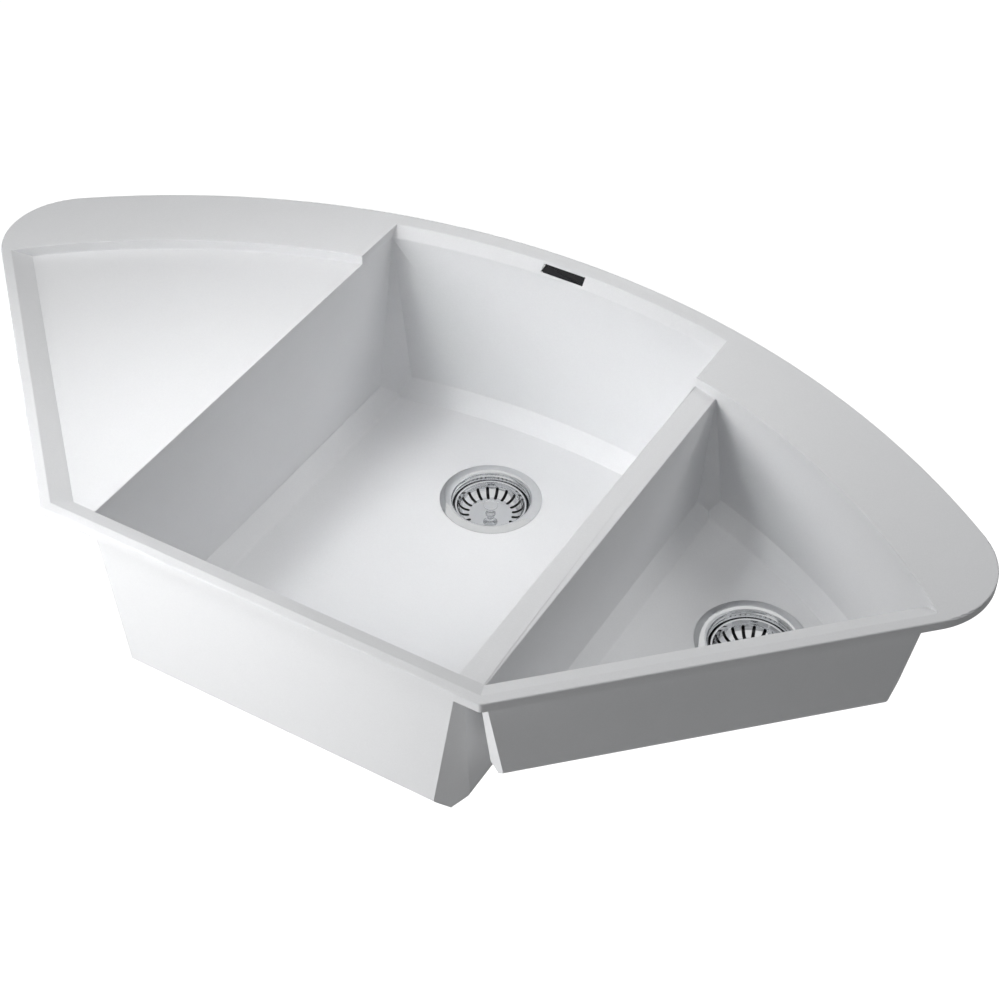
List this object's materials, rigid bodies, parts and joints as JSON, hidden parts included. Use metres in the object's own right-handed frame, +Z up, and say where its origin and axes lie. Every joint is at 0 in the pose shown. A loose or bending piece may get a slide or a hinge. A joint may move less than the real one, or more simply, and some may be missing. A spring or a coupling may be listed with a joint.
{
  "type": "corner kitchen sink",
  "caption": "Sector-shaped inset corner sink in white granite composite: sunken drainboard, deep main bowl, shallower half bowl, steel basket strainer wastes that lift out.",
  "frame": {"origin": "underside of the rim at the middle of the straight front edge, where the sink rests on the worktop", "axes": "+Z up, +Y from the front edge to the back of the corner, +X to the right, towards the half bowl"},
  "size_m": [1.1272, 0.6109, 0.305],
  "materials": {
    "composite": "matt white quartz composite with fine grain",
    "polished_steel": "polished stainless steel",
    "seal_rubber": "matt black rubber",
    "waste_plastic": "moulded white plastic",
    "stopper_plastic": "moulded black plastic",
    "screw_steel": "turned stainless steel",
    "nut_brass": "turned brass",
    "badge": "black plate with a thin bright edge, bare"
  },
  "bodies": {
    "sink": {"sink_body": "composite", "badge_plate": "badge", "main_drain_flange": "polished_steel", "main_flange_gasket": "seal_rubber", "main_under_seal": "seal_rubber", "main_waste_body": "waste_plastic", "main_outlet_tail": "waste_plastic", "main_clamp_nut": "nut_brass", "main_fixing_screw": "screw_steel", "half_drain_flange": "polished_steel", "half_flange_gasket": "seal_rubber", "half_under_seal": "seal_rubber", "half_waste_body": "waste_plastic", "half_outlet_tail": "waste_plastic", "half_clamp_nut": "nut_brass", "half_fixing_screw": "screw_steel"},
    "main_strainer": {"main_basket": "polished_steel", "main_knob": "polished_steel", "main_stopper_hub": "stopper_plastic", "main_stopper_seal": "seal_rubber", "main_stopper_pin": "screw_steel"},
    "half_strainer": {"half_basket": "polished_steel", "half_knob": "polished_steel", "half_stopper_hub": "stopper_plastic", "half_stopper_seal": "seal_rubber", "half_stopper_pin": "screw_steel"}
  },
  "joints": [
    {"name": "main_strainer_lift", "type": "slide", "parent": "sink", "child": "main_strainer", "axis": [0, 0, 1], "range_m": [0, 0.27]},
    {"name": "half_strainer_lift", "type": "slide", "parent": "sink", "child": "half_strainer", "axis": [0, 0, 1], "range_m": [0, 0.2]}
  ]
}
